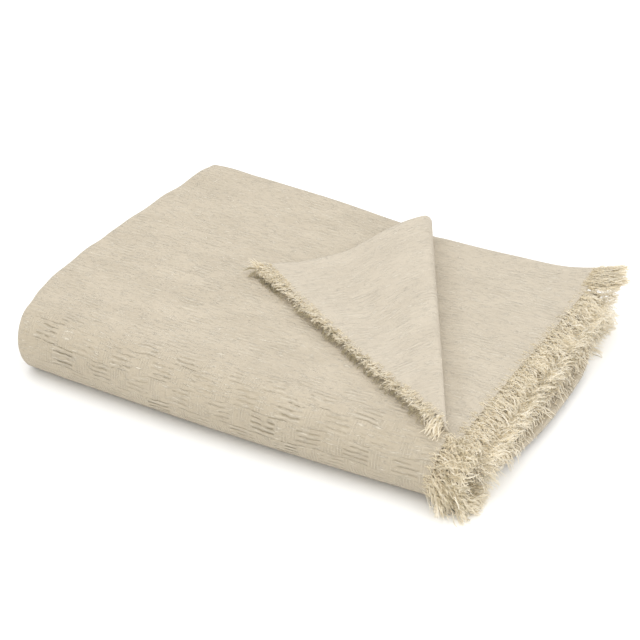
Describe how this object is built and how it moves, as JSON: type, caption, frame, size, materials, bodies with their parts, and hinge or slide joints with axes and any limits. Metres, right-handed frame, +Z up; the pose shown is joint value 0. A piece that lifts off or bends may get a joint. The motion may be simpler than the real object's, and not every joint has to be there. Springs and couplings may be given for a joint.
{
  "type": "folded throw",
  "caption": "Soft cotton sofa throw, folded in quarters both ways into a low stack with one corner of the top layer turned over and cut fringes at its right end.",
  "frame": {"origin": "on the resting surface, under the middle of the whole throw as it lies folded", "axes": "+X along the folded length towards the fringed end, +Y from the big soft front fold to the back, +Z up"},
  "size_m": [0.5276, 0.3936, 0.0883],
  "materials": {
    "slub_cotton": "undyed slubby cotton in a basket-block weave, matt",
    "cut_cotton_yarn": "loose cut cotton yarn ends, matt and fluffy"
  },
  "bodies": {
    "root": {"throw_cloth": "slub_cotton", "fringe_first_end": "cut_cotton_yarn", "fringe_turned_corner": "cut_cotton_yarn", "fringe_second_end": "cut_cotton_yarn"}
  },
  "joints": []
}
